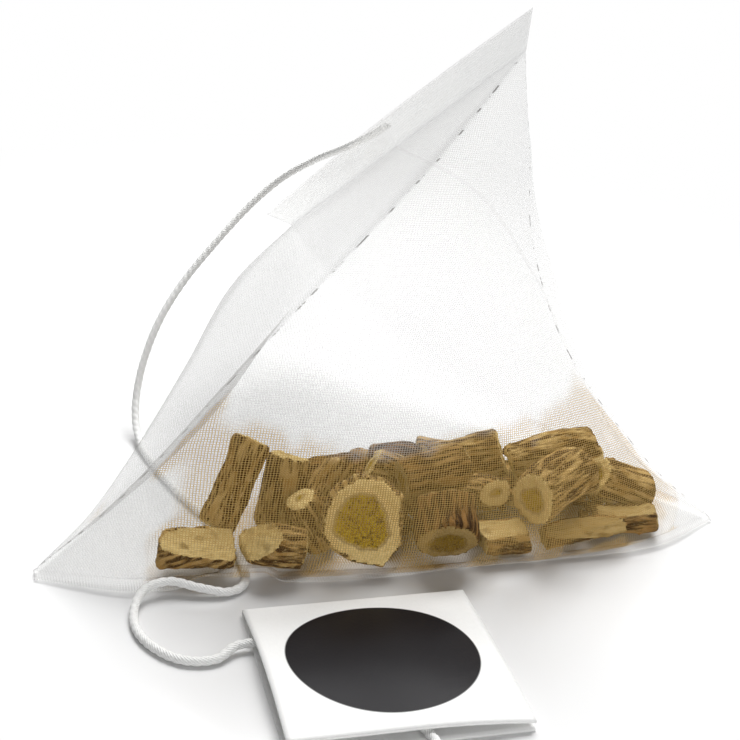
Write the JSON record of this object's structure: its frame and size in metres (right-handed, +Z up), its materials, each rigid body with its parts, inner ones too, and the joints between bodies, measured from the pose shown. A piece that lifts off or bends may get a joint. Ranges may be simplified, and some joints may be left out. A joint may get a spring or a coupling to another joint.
{
  "type": "tea bag",
  "caption": "Pyramid tea bag of welded woven gauze, filled with chopped dried root, with a cotton string and a square folded card tag.",
  "frame": {"origin": "bottom centre of the bounding box of the bag and its filling, on the surface that the bag stands on", "axes": "+Z up, X along the foot weld, -Y towards the front, where the string and the tag lie"},
  "size_m": [0.0658, 0.0856, 0.052],
  "materials": {
    "gauze": "fine white see-through gauze",
    "cotton": "twisted white cotton",
    "tag_card": "smooth white card with a bare glossy black disc",
    "root_bark": "rough brown bark with pale yellow cut faces"
  },
  "bodies": {
    "root": {"gauze_bag": "gauze", "string": "cotton", "tag": "tag_card", "root_lying_left": "root_bark", "root_leaning_peeled": "root_bark", "root_small_stub": "root_bark", "root_pointed_bark": "root_bark", "root_lean_behind": "root_bark", "root_pale_below": "root_bark", "root_big_slice": "root_bark", "root_back_dark": "root_bark", "root_right_of_slice": "root_bark", "root_slanted_bark": "root_bark", "root_front_barrel": "root_bark", "root_little_end": "root_bark", "root_low_block": "root_bark", "root_top_middle": "root_bark", "root_oblique_face": "root_bark", "root_top_right": "root_bark", "root_long_low": "root_bark", "root_right_round": "root_bark", "root_right_slab": "root_bark", "root_inner_one": "root_bark", "root_inner_two": "root_bark", "root_inner_three": "root_bark", "root_inner_four": "root_bark", "root_inner_five": "root_bark", "root_inner_six": "root_bark", "root_inner_seven": "root_bark", "root_inner_eight": "root_bark"}
  },
  "joints": []
}
